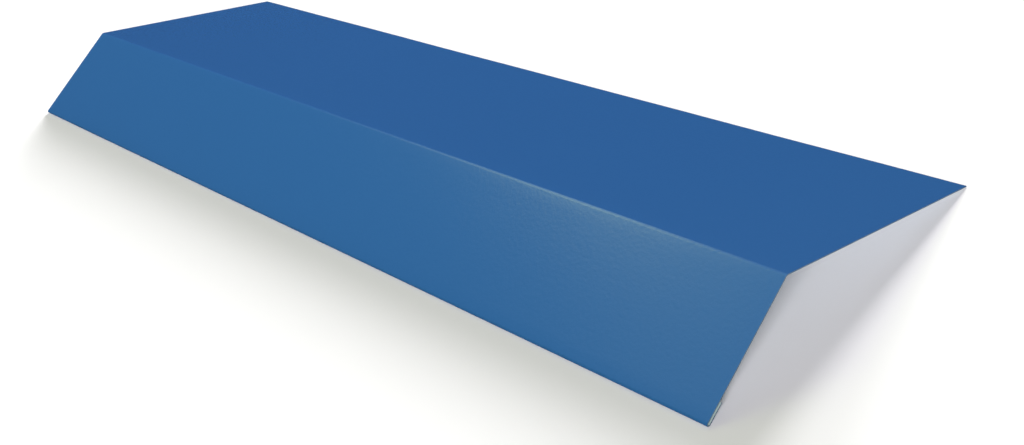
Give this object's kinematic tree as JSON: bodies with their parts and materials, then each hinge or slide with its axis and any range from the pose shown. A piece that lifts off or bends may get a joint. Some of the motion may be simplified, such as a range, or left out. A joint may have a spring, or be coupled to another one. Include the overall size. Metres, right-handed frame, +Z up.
{
  "type": "eaves flashing",
  "caption": "Folded sheet-metal eaves flashing: a wide flange for the roof deck, a narrower face at an open angle, and a turned-back hem along its foot.",
  "frame": {"origin": "on the floor, in the middle of the area that the piece covers as it rests on its two long edges", "axes": "+X along the eaves, +Y from the face towards the back edge of the flange, +Z up"},
  "size_m": [0.57, 0.1834, 0.034],
  "materials": {
    "coated_sheet": "satin"
  },
  "bodies": {
    "root": {"flashing": "coated_sheet"}
  },
  "joints": []
}
